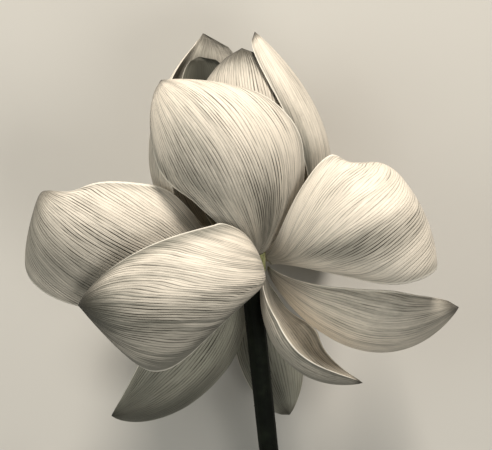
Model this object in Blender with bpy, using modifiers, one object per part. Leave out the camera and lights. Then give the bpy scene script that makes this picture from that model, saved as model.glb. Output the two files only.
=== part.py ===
"""A lotus bloom on a short cut stem, lying on its back, in metres, +Z up.

The bloom points along +Y and the stem runs back along -Y. Two petals of the rear side and the cut end of
the stem touch the surface at Z = 0. Every petal is one shell, shaped by its own midrib, width and cupping.
"""
import math
import random

import bmesh
import bpy
import numpy as np
from mathutils import Vector

MM = 0.001
GAP = 0.3                        # clear space between pieces that touch on the plant (mm)

# The heart is where the stem meets the receptacle. All points below are in mm from it:
# X to the right, Y along the bloom, Z up from the surface.
HEART = Vector((4.0, 47.4, 59.9))

STEM_RADIUS = 4.55
STEM_LENGTH = 198.0
STEM_LEAN = 0.105                # sideways drift for each mm of length
STEM_POINTS = 16

NECK_RADIUS = 6.0
NECK_FOOT = -2.0                 # where the receptacle sits on the stem, along Y
NECK_TOP = 13.2
RECEPTACLE_TOP = 24.0
RECEPTACLE_RADIUS = 9.5
CARPEL_RADIUS = 1.3
CARPEL_RINGS = ((1, 0.0), (5, 3.4), (10, 6.7))      # how many carpels, and how far from the middle

STAMENS = 48
STAMEN_COLLAR = (10.8, 12.8)     # along Y
STAMEN_TIP_RADIUS = 12.5
STAMEN_SEED = 7

PETAL_THICKNESS = 0.8
REST_THICKNESS = 1.0             # of the two petals that carry the weight
PETAL_SEAT_RADIUS = 7.0          # distance of a petal's foot from the axis of the bloom
PETAL_ROWS = 13
PETAL_COLUMNS = 8
TIP_HALF_WIDTH = 0.6
TIGHTEST_CURL = 1.6              # smallest radius that a blade curls to across its width
REST_CUT = 0.3                   # how much of the lowest spots is flattened

CREAM = (0.86, 0.76, 0.62)
SHADED_CREAM = (0.42, 0.40, 0.32)
STEM_GREEN = (0.020, 0.026, 0.015)
RECEPTACLE_GREEN = (0.42, 0.44, 0.20)
STAMEN_YELLOW = (0.72, 0.52, 0.20)

# One entry for each petal.
#   seat    where it grows: degrees round the axis from straight up towards +X, height along Y, and
#           how much further out than the rest
#   midrib  two handles and the tip of the midrib's curve
#   inner   the way that its hollow side faces
#   width   half width along the curve, left and right, seen from outside with the tip up
#   cup     how far each half curls in, in degrees, and tip_cup the same at the tip
#   widest  how far along the midrib each half is widest
#   rise    how slowly each half widens from the foot
#   point   how sharply each half closes to the tip, and full how late
#   twist   turn of the blade at foot and tip, in degrees
PETALS = {
    "petal_front_cup": dict(
        seat=(22, 5), midrib=((12, 30, 44), (-15, 79, 57), (-40.5, 83, 15)), inner=(-0.10, -0.15, -1),
        width=(38, 32), cup=(56, 40), tip_cup=(60, 60), widest=(0.58, 0.44), rise=(1.2, 0.95),
        point=(0.55, 1.0), full=(2.2, 1.8)),
    "petal_front_inner": dict(
        seat=(17, 9), midrib=((6, 34, 33), (0, 75, 25), (-4.5, 98.3, 2)), inner=(0, 0, -1),
        width=(33, 25), cup=(60, 70), widest=(0.6, 0.6), rise=(1.3, 1.3), point=(0.45, 0.45)),
    "petal_right_cup": dict(
        seat=(98, 6), midrib=((48, 24, 2), (43, 68, 2), (1.3, 106, -2)), inner=(-1, 0, -0.1),
        width=(24, 32), cup=(68, 60), widest=(0.6, 0.45), rise=(2.0, 1.3), point=(0.5, 0.7)),
    "petal_left_cup": dict(
        seat=(-98, 6), midrib=((-62, 30, -4), (-31, 84, -6), (-22, 106, -10)), inner=(0.5, 0, 0.8),
        width=(38, 27), cup=(40, 130), tip_cup=(40, 95), widest=(0.65, 0.42), rise=(1.3, 1.3),
        point=(0.47, 1.35), full=(2.2, 1.8), twist=(0, -35)),
    "petal_left_inner": dict(
        seat=(-70, 9.2), midrib=((-31, 24, 6), (-22, 68, -6), (-24, 95, -5)), inner=(0.1, -0.2, 1),
        width=(18, 12), cup=(50, 50), widest=(0.72, 0.6), rise=(1.6, 1.3), point=(0.4, 0.4), twist=(80, 0),
        foot=1.5),
    "petal_left_spread": dict(
        seat=(-72, 3), midrib=((-44, -4, 34), (-105.6, 14, 48), (-93, 33, 18)), inner=(0, 0.25, -1),
        width=(31.8, 34.5), cup=(35, 46), widest=(0.6, 0.4), rise=(1.3, 1.6), point=(0.85, 0.85),
        full=(3.0, 2.4)),
    "petal_front_spread": dict(
        seat=(-17, 0), midrib=((30, -5, 56), (-50, -14, 68), (-75.6, -15.8, 34)), inner=(-0.2, 0, -1),
        width=(38, 31), cup=(50, 50), widest=(0.74, 0.35), rise=(4.0, 1.15), point=(1.0, 0.75)),
    "petal_right_spread": dict(
        seat=(66, 3, 0.8), midrib=((24, 18, 56), (87, 38, 52), (60, 42, -6)), inner=(0.15, -0.2, -1),
        width=(32, 40.5), cup=(30, 45), tip_cup=(40, 50), widest=(0.5, 0.64), rise=(2.2, 1.5),
        point=(1.1, 0.5), full=(1.4, 2.6)),
    "petal_right_low": dict(
        seat=(99, -0.5), midrib=((24, -32, 12), (66, -52, 14), (92.7, -18, 4)), inner=(0, 1, -0.5),
        width=(31.5, 29), cup=(70, 70), widest=(0.6, 0.5), rise=(1.0, 0.8), point=(0.6, 0.85)),
    "petal_right_hanging": dict(
        seat=(45, -1, 0.5), midrib=((0, -28, 18), (16, -56, 18), (49, -51, 16)), inner=(0.7, 0.6, 0.16),
        width=(18, 30), cup=(65, 60), widest=(0.5, 0.5), rise=(1.1, 0.7), point=(0.85, 0.85)),
    "petal_back_hanging": dict(
        seat=(171, 0), midrib=((2, -22, -28), (10, -50, -34), (17.5, -69, -30)), inner=(0.2, 0, -1),
        width=(16, 18), cup=(40, 40), widest=(0.6, 0.6), rise=(1.3, 1.3), point=(0.85, 0.65)),
    "petal_left_hanging": dict(
        seat=(-114, -0.6, 0.95), midrib=((-8, -30, -14), (-34, -66, -20), (-64, -68, -14)), inner=(-0.1, 0.6, -1),
        width=(22, 24), cup=(60, 60), widest=(0.5, 0.5), rise=(1.3, 1.3), point=(0.85, 0.85), foot=2.0),
    "petal_rest_left": dict(
        seat=(-145, 3), midrib=((-16, 12, -46), (-29, 50, -84), (-31, 60, -38)), inner=(0.3, -0.1, 1),
        width=(24, 17), cup=(45, 45), widest=(0.55, 0.55), rise=(1.3, 1.3), point=(0.85, 0.85)),
    "petal_rest_right": dict(
        seat=(140, 3), midrib=((20, 12, -46), (34, 42, -85.2), (35, 48, -38)), inner=(-0.3, -0.1, 1),
        width=(16, 24), cup=(45, 45), widest=(0.55, 0.55), rise=(1.3, 1.3), point=(0.85, 0.85)),
    "petal_back_cup": dict(
        seat=(180, 7), midrib=((-2, 36, -58), (-4, 76, -50), (-4, 92, -14)), inner=(0, 0, 1),
        width=(24, 24), cup=(45, 45), widest=(0.55, 0.55), rise=(1.3, 1.3), point=(0.85, 0.85)),
    "petal_back_inner": dict(
        seat=(140, 9), midrib=((18, 38, -32), (17, 72, -26), (4, 90, -12)), inner=(-0.5, 0, 0.8),
        width=(17, 17), cup=(45, 45), widest=(0.55, 0.55), rise=(1.3, 1.3), point=(0.85, 0.85)),
}
SHADED_PETALS = ("petal_left_inner", "petal_back_hanging", "petal_left_hanging")
RESTING_PETALS = ("petal_rest_left", "petal_rest_right")


def clear_scene():
    for thing in list(bpy.data.objects):
        bpy.data.objects.remove(thing, do_unlink=True)


def make_collection(name):
    collection = bpy.data.collections.new(name)
    bpy.context.scene.collection.children.link(collection)
    return collection


def make_material(name, colour, roughness):
    material = bpy.data.materials.new(name)
    material.use_nodes = True
    shader = material.node_tree.nodes["Principled BSDF"]
    shader.inputs["Base Color"].default_value = (*colour, 1.0)
    shader.inputs["Roughness"].default_value = roughness
    return material


def add_object(name, mesh, collection, material=None, parent=None):
    thing = bpy.data.objects.new(name, mesh)
    collection.objects.link(thing)
    thing.parent = parent
    if material:
        mesh.materials.append(material)
    return thing


def unit(vector):
    vector = np.array(vector, float)
    return vector / np.linalg.norm(vector)


def seat_point(degrees, height, out=0):
    """The foot of a petal on the neck of the receptacle."""
    turn = math.radians(degrees)
    radius = PETAL_SEAT_RADIUS + out
    return (radius * math.sin(turn), height, radius * math.cos(turn))


def midrib_points(handles, along):
    """Even steps along the Bezier curve through the handles, with its direction at each."""
    handles = np.array(handles, float)
    weights = [math.comb(3, i) for i in range(4)]

    def curve(t):
        t = np.asarray(t)[:, None]
        return sum(w * t**i * (1 - t)**(3 - i) * p for i, (w, p) in enumerate(zip(weights, handles)))

    fine = np.linspace(0, 1, 201)
    steps = np.linalg.norm(np.diff(curve(fine), axis=0), axis=1)
    length = np.concatenate([[0], np.cumsum(steps)])
    t = np.interp(along, length / length[-1], fine)
    ahead = curve(np.minimum(t + 0.001, 1)) - curve(np.maximum(t - 0.001, 0))
    return curve(t), ahead / np.linalg.norm(ahead, axis=1)[:, None]


def half_width(along, width, widest, rise, point, full, foot):
    """Half width of a petal: it widens from a narrow foot and closes to a tip."""
    growing = foot + (width - foot) * np.sin(np.pi / 2 * np.clip(along / widest, 0, 1))**rise
    closing = width * (1 - np.clip((along - widest) / (1 - widest), 0, 1)**full)**point
    return np.where(along < widest, growing, np.maximum(closing, TIP_HALF_WIDTH))


def half_curl(along, cup, tip_cup):
    """Angle that a half turns through from the midrib to its margin."""
    opening = math.radians(cup) * np.clip(along / 0.35, 0, 1)**0.6
    near_tip = np.clip((along - 0.5) / 0.5, 0, 1)
    return np.maximum(opening * (1 - near_tip) + math.radians(tip_cup) * near_tip, 0.12)


def petal_surface(seat, midrib, inner, width, cup, widest, rise, point,
                  full=(2.2, 2.2), tip_cup=None, twist=(0, 0), foot=2.5,
                  rows=PETAL_ROWS, columns=PETAL_COLUMNS):
    """Grid of points on the middle of the blade: rows from foot to tip, columns from left to right."""
    along = np.linspace(0, 1, rows + 1)
    across = np.linspace(-1, 1, columns + 1)
    handles = (seat_point(*seat), *midrib)
    centre, forward = midrib_points(handles, along)
    side = np.cross(unit(inner), unit(np.subtract(handles[-1], handles[0])))
    side = side - np.sum(side * forward, axis=1)[:, None] * forward
    side /= np.linalg.norm(side, axis=1)[:, None]
    inward = np.cross(forward, side)
    turn = np.radians(twist[0] * (1 - along)**2 + twist[1] * along**2)[:, None]
    side, inward = (side * np.cos(turn) + inward * np.sin(turn),
                    inward * np.cos(turn) - side * np.sin(turn))
    grid = np.zeros((rows + 1, columns + 1, 3))
    for half, (w, c, t) in enumerate(zip(width, cup, tip_cup or cup)):
        reach = half_width(along, w, widest[half], rise[half], point[half], full[half], foot)
        curl = np.minimum(half_curl(along, c, t), reach / TIGHTEST_CURL)
        radius = (reach / curl)[:, None]
        for j, v in enumerate(across):
            if (v < 0) == (half == 0):
                angle = (curl * abs(v))[:, None]
                out = radius * np.sin(angle) * np.sign(v)
                grid[:, j] = centre + out * side + radius * (1 - np.cos(angle)) * inward
    return grid


def make_petal(name, form, collection, material, parent):
    """A grid moved onto the petal's surface, split into triangles and given its thickness."""
    grid = petal_surface(**form)
    shell = bmesh.new()
    bmesh.ops.create_grid(shell, x_segments=PETAL_ROWS, y_segments=PETAL_COLUMNS, size=0.5)
    for vertex in shell.verts:
        row = round((vertex.co.x + 0.5) * PETAL_ROWS)
        column = round((vertex.co.y + 0.5) * PETAL_COLUMNS)
        vertex.co = Vector(grid[row, column]) * MM
    bmesh.ops.triangulate(shell, faces=shell.faces, quad_method='FIXED')
    mesh = bpy.data.meshes.new(name)
    shell.to_mesh(mesh)
    shell.free()
    petal = add_object(name, mesh, collection, material, parent)
    thickness = petal.modifiers.new("Thickness", 'SOLIDIFY')
    thickness.thickness = (REST_THICKNESS if name in RESTING_PETALS else PETAL_THICKNESS) * MM
    thickness.offset = 0
    return petal


def stem_path():
    """The stem leaves the bloom level, comes down in one bend and ends flat on the surface."""
    drop = HEART.z - STEM_RADIUS + REST_CUT
    start = NECK_FOOT - GAP - STEM_RADIUS * STEM_LEAN
    points = []
    for i in range(STEM_POINTS):
        t = i / (STEM_POINTS - 1)
        y = start - STEM_LENGTH * t
        x = -0.8 + STEM_LEAN * (start - y)
        points.append(Vector((x, y, -drop * (3 * t**2 - 2 * t**3))))
    return points


def baked_mesh(thing, name, weld=0.02):
    """The shape that the object's modifiers or curve give, as a plain mesh. The object is removed."""
    graph = bpy.context.evaluated_depsgraph_get()
    mesh = bpy.data.meshes.new_from_object(thing.evaluated_get(graph))
    mesh.name = name
    bpy.data.objects.remove(thing, do_unlink=True)
    clean = bmesh.new()
    clean.from_mesh(mesh)
    bmesh.ops.remove_doubles(clean, verts=clean.verts, dist=weld * MM)
    clean.to_mesh(mesh)
    clean.free()
    return mesh


def make_tube(name, points, radii, sides, collection):
    """A closed tube along the points, with its own radius at each."""
    curve = bpy.data.curves.new(name, 'CURVE')
    curve.dimensions = '3D'
    curve.bevel_mode = 'ROUND'
    curve.bevel_depth = MM
    curve.bevel_resolution = (sides - 4) // 2
    curve.use_fill_caps = True
    line = curve.splines.new('POLY')
    line.points.add(len(points) - 1)
    for spot, point, radius in zip(line.points, points, radii):
        spot.co = (*(Vector(point) * MM), 1)
        spot.radius = radius
    thing = bpy.data.objects.new(name, curve)
    collection.objects.link(thing)
    bpy.context.view_layer.update()
    return baked_mesh(thing, name)


def make_turned(name, profile, sides, collection):
    """A profile of (radius, y) points, from the far end to the near one, turned round the Y axis."""
    mesh = bpy.data.meshes.new(name)
    corners = [(radius * MM, y * MM, 0) for radius, y in profile]
    links = [(i, i + 1) for i in range(len(corners) - 1)]
    mesh.from_pydata(corners, links, [])
    thing = bpy.data.objects.new(name, mesh)
    collection.objects.link(thing)
    screw = thing.modifiers.new("Turn", 'SCREW')
    screw.axis = 'Y'
    screw.steps = sides
    screw.render_steps = sides
    screw.use_merge_vertices = True
    screw.merge_threshold = 0.00001
    screw.use_normal_calculate = True
    bpy.context.view_layer.update()
    turned = baked_mesh(thing, name)
    outward = bmesh.new()
    outward.from_mesh(turned)
    bmesh.ops.recalc_face_normals(outward, faces=outward.faces)
    outward.to_mesh(turned)
    outward.free()
    return turned


def fuse(name, core_mesh, repeats, collection, material, parent):
    """Join the repeats to the core by one union, then remove them."""
    core = add_object(name, core_mesh, collection)
    union = core.modifiers.new("Fuse", 'BOOLEAN')
    union.operation = 'UNION'
    union.operand_type = 'COLLECTION'
    union.collection = repeats
    union.solver = 'MANIFOLD'
    bpy.context.view_layer.update()
    mesh = baked_mesh(core, name, weld=0.002)
    for thing in list(repeats.objects):
        bpy.data.objects.remove(thing, do_unlink=True)
    bpy.data.collections.remove(repeats)
    return add_object(name, mesh, collection, material, parent)


def make_receptacle(collection, material, parent):
    """A cone on a straight neck, its flat top set with carpels."""
    profile = [(0, RECEPTACLE_TOP), (RECEPTACLE_RADIUS - 1, RECEPTACLE_TOP),
               (RECEPTACLE_RADIUS, RECEPTACLE_TOP - 1.2), (RECEPTACLE_RADIUS - 1.5, RECEPTACLE_TOP - 5),
               (NECK_RADIUS, NECK_TOP), (NECK_RADIUS, NECK_FOOT), (0, NECK_FOOT)]
    cone = make_turned("receptacle", profile, 24, collection)
    repeats = make_collection("carpels")
    for count, distance in CARPEL_RINGS:
        for i in range(count):
            turn = 2 * math.pi * i / count
            ball = bmesh.new()
            bmesh.ops.create_uvsphere(ball, u_segments=8, v_segments=6, radius=CARPEL_RADIUS * MM)
            centre = Vector((distance * math.sin(turn), RECEPTACLE_TOP, distance * math.cos(turn))) * MM
            bmesh.ops.translate(ball, verts=ball.verts, vec=centre)
            mesh = bpy.data.meshes.new("carpel")
            ball.to_mesh(mesh)
            ball.free()
            add_object("carpel", mesh, repeats)
    return fuse("receptacle", cone, repeats, collection, material, parent)


def make_stamens(collection, material, parent):
    """A sloping collar round the neck, with a ring of filaments that end in thicker anthers."""
    low, high = STAMEN_COLLAR
    inside = NECK_RADIUS + GAP
    profile = [(inside, high), (inside + 1.5, high), (inside + 0.8, low), (inside, low), (inside, high)]
    collar = make_turned("stamens", profile, 24, collection)
    dice = random.Random(STAMEN_SEED)
    repeats = make_collection("filaments")
    for i in range(STAMENS):
        turn = 2 * math.pi * (i + dice.uniform(-0.08, 0.08)) / STAMENS
        tip_radius = STAMEN_TIP_RADIUS + (0.8 if i % 2 else -0.8)
        tip_height = dice.uniform(27, 31) - (2 if i % 2 else 0)
        root = (inside + 0.7, high - 0.9)
        middle = (0.55 * root[0] + 0.45 * tip_radius + 1.0, 0.5 * (root[1] + tip_height) - 1)
        shoulder = (tip_radius - 0.6, tip_height - 6)
        route = [root, middle, shoulder, (tip_radius, tip_height - 2), (tip_radius, tip_height)]
        points = [(r * math.sin(turn), y, r * math.cos(turn)) for r, y in route]
        mesh = make_tube("filament", points, (0.3, 0.3, 0.5, 0.6, 0.25), 4, repeats)
        add_object("filament", mesh, repeats)
    return fuse("stamens", collar, repeats, collection, material, parent)


def main():
    clear_scene()
    flower = make_collection("lotus_flower")
    cutters = make_collection("cutters")
    heart = bpy.data.objects.new("heart", None)
    heart.location = HEART * MM
    flower.objects.link(heart)

    surface = bmesh.new()
    bmesh.ops.create_cube(surface, size=0.6)
    bmesh.ops.translate(surface, verts=surface.verts, vec=(0, 0, -0.3))
    surface_mesh = bpy.data.meshes.new("surface")
    surface.to_mesh(surface_mesh)
    surface.free()
    below = add_object("surface", surface_mesh, cutters)
    below.hide_render = True
    below.display_type = 'WIRE'

    stem_green = make_material("stem_green", STEM_GREEN, 0.6)
    stem_mesh = make_tube("stem", stem_path(), [STEM_RADIUS] * STEM_POINTS, 12, flower)
    stem = add_object("stem", stem_mesh, flower, stem_green, heart)
    make_receptacle(flower, make_material("receptacle_green", RECEPTACLE_GREEN, 0.5), heart)
    make_stamens(flower, make_material("stamen_yellow", STAMEN_YELLOW, 0.6), heart)

    resting = [stem]
    for name, form in PETALS.items():
        colour = SHADED_CREAM if name in SHADED_PETALS else CREAM
        petal = make_petal(name, form, flower, make_material(name, colour, 0.5), heart)
        if name in RESTING_PETALS:
            resting.append(petal)
    for thing in resting:
        flat = thing.modifiers.new("Rest", 'BOOLEAN')
        flat.operation = 'DIFFERENCE'
        flat.object = below


main()
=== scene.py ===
"""The looks of a lotus bloom that lies on its back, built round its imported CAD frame, in metres, +Z up."""
import math

import bmesh
import bpy
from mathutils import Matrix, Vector


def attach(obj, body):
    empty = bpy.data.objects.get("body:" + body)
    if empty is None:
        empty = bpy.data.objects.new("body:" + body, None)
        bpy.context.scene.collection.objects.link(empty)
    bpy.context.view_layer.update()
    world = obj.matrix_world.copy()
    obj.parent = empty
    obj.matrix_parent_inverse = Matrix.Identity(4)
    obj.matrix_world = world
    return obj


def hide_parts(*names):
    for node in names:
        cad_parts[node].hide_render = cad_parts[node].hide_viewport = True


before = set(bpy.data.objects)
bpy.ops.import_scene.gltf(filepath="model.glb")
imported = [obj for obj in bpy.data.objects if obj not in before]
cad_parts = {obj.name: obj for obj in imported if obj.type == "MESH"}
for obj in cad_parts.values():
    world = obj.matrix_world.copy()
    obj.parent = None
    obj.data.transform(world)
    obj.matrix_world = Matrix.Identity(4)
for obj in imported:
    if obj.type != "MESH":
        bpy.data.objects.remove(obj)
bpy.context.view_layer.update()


# ---- The heart of the flower and the camera -------------------------------------------------------
# Everything grows from one point, where the stem meets the receptacle. Points are given in mm
# from it: X to the right, Y along the bloom, Z up. The camera hangs straight above the bloom.
MM = 0.001
HEART = Vector((4.0, 47.4, 59.9))
VIEW_CENTRE = (-2.7, 18.9)
VIEW_HEIGHT = 1000.0
VIEW_WIDTH = 221.4
SENSOR_WIDTH = 36.0

camera_data = bpy.data.cameras.new("camera")
camera_data.sensor_width = SENSOR_WIDTH
camera_data.lens = SENSOR_WIDTH * VIEW_HEIGHT / VIEW_WIDTH
camera_data.clip_start = 0.05
camera_data.clip_end = 20
camera = bpy.data.objects.new("camera", camera_data)
bpy.context.scene.collection.objects.link(camera)
camera.location = (HEART + Vector((*VIEW_CENTRE, VIEW_HEIGHT))) * MM
bpy.context.scene.camera = camera


# ---- The cup --------------------------------------------------------------------------------------
# Five broad petals still stand close round the heart. Each is one soft living blade about 0.8 mm thick,
# hollow towards the heart, and grows by its narrow foot from the ring below the receptacle. Close dark
# veins run up its satin cream skin, which lets some light through and browns first at the tip.

def tree_inputs(tree, named):
    """Name the tree's inputs. Each is float, vector, integer or material by its first value."""
    kinds = {float: 'NodeSocketFloat', tuple: 'NodeSocketVector', int: 'NodeSocketInt'}
    for name, value in named.items():
        kind = 'NodeSocketMaterial' if value is None else kinds[type(value)]
        socket = tree.interface.new_socket(name, in_out='INPUT', socket_type=kind)
        if value is not None:
            socket.default_value = value
    tree.interface.new_socket("Geometry", in_out='OUTPUT', socket_type='NodeSocketGeometry')


class Desk:
    """A short way to write a node tree down as sums."""

    def __init__(self, tree):
        self.tree = tree

    def plug(self, socket, value):
        if hasattr(value, 'is_output'):
            self.tree.links.new(value, socket)
        else:
            socket.default_value = value

    def node(self, kind, inputs, **settings):
        node = self.tree.nodes.new(kind)
        for name, value in settings.items():
            setattr(node, name, value)
        for name, value in inputs.items():
            self.plug(node.inputs[name], value)
        return node

    def sum(self, operation, *values):
        return self.node('ShaderNodeMath', dict(enumerate(values)), operation=operation).outputs[0]

    def way(self, operation, *values):
        outcome = 'Value' if operation == 'DOT_PRODUCT' else 'Vector'
        return self.node('ShaderNodeVectorMath', dict(enumerate(values)),
                         operation=operation).outputs[outcome]

    def vector(self, x=0.0, y=0.0, z=0.0):
        return self.node('ShaderNodeCombineXYZ', {'X': x, 'Y': y, 'Z': z}).outputs[0]

    def parts(self, vector):
        return self.node('ShaderNodeSeparateXYZ', {0: vector}).outputs

    def scaled(self, vector, factor):
        return self.node('ShaderNodeVectorMath', {0: vector, 'Scale': factor},
                         operation='SCALE').outputs['Vector']

    def clamped(self, value):
        return self.node('ShaderNodeClamp', {'Value': value}).outputs[0]

    def between(self, value, low, high):
        """0 below low, 1 above high, and smooth between."""
        return self.node('ShaderNodeMapRange', {'Value': value, 'From Min': low, 'From Max': high},
                         interpolation_type='SMOOTHSTEP').outputs[0]

    def blend(self, share, first, second):
        return self.node('ShaderNodeMix', {0: share, 2: first, 3: second}).outputs[0]

    def noise(self, where, scale, detail, **more):
        return self.node('ShaderNodeTexNoise', {'Vector': where, 'Scale': scale, 'Detail': detail,
                                                **more}).outputs[0]

    def sheet(self, length, width, rows, columns):
        return self.node('GeometryNodeMeshGrid', {'Size X': length, 'Size Y': width, 'Vertices X': rows,
                                                  'Vertices Y': columns}).outputs['Mesh']

    def position(self):
        return self.node('GeometryNodeInputPosition', {}).outputs[0]

    def stored(self, geometry, name, value, kind='FLOAT_VECTOR', domain='POINT'):
        return self.node('GeometryNodeStoreNamedAttribute', {'Geometry': geometry, 'Name': name,
                                                             'Value': value},
                         data_type=kind, domain=domain).outputs[0]

    def placed(self, geometry, position):
        return self.node('GeometryNodeSetPosition', {'Geometry': geometry, 'Position': position}).outputs[0]

    def welded(self, geometry):
        return self.node('GeometryNodeMergeByDistance', {'Geometry': geometry, 'Distance': WELD}).outputs[0]

    def attribute(self, name, outcome='Fac'):
        return self.node('ShaderNodeAttribute', {}, attribute_name=name).outputs[outcome]

    def bump(self, shader, height, strength, distance):
        raised = self.node('ShaderNodeBump', {'Strength': strength, 'Distance': distance, 'Height': height})
        self.plug(shader.inputs["Normal"], raised.outputs[0])

    def joined(self, *pieces):
        both = self.tree.nodes.new('GeometryNodeJoinGeometry')
        for piece in pieces:
            self.tree.links.new(piece, both.inputs[0])
        return both.outputs[0]

    def realized(self, geometry):
        return self.node('GeometryNodeRealizeInstances', {'Geometry': geometry}).outputs[0]

    def smooth(self, geometry):
        return self.node('GeometryNodeSetShadeSmooth', {'Geometry': geometry}).outputs[0]

    def finish(self, geometry, skin):
        dressed = self.node('GeometryNodeSetMaterial', {'Geometry': geometry, 'Material': skin}).outputs[0]
        self.node('NodeGroupOutput', {'Geometry': dressed})


BLADE_INPUTS = {
    "Foot": (0.0, 0.0, 0.0), "First handle": (0.0, 0.0, 0.0), "Second handle": (0.0, 0.0, 0.0),
    "Tip": (0.0, 0.0, 0.0), "Inner way": (0.0, 0.0, 1.0),
    "Width left": 20.0, "Width right": 20.0, "Cup left": 1.0, "Cup right": 1.0,
    "Tip cup left": 1.0, "Tip cup right": 1.0, "Widest left": 0.5, "Widest right": 0.5,
    "Rise left": 1.3, "Rise right": 1.3, "Point left": 0.85, "Point right": 0.85,
    "Full left": 2.2, "Full right": 2.2, "Twist foot": 0.0, "Twist tip": 0.0, "Foot width": 2.5,
    "Tip width": 0.3, "Tightest curl": 1.6, "Thickness": 0.75, "Wave": 0.6, "Furrow": 0.045,
    "Pitch": 1.4, "Vein lean": 0.0, "Seed": 0.0, "Rows": 49, "Columns": 257, "Skin": None,
}


SURFACE = (-1000.0, -1000.0, 0.0)            # nothing lies lower than this level of Z
WELD = 0.000001                              # points closer than this, in metres, are one
FLAT_FOOT = 0.35                             # up to this share of its length a blade is less cupped
FLATTEST = 0.12                              # the least curl of a half, in radians
WAVE_CELLS = (4.5, 1.3)                      # soft waves along a blade and across it
SWAY_CELLS = (2.2, 2.6)                      # slow swings of its veins along it and across it
SWAY_SEED = 50.0
SWAY = 0.12                                  # how wide they swing, as a share of the width
LEAN_PEAK = 6.75                             # brings u (1 - u) (1 - u) to 1 where it is highest
PLEATED_WIDTH = 14.0                         # a half narrower than this, in mm, has lower pleats
MARGIN_TAPER = 6.0                           # how late a blade thins out towards its margin,
FOOT_TAPER = 25.0                            # its foot
TIP_TAPER = 24.0                             # and its tip


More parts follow.
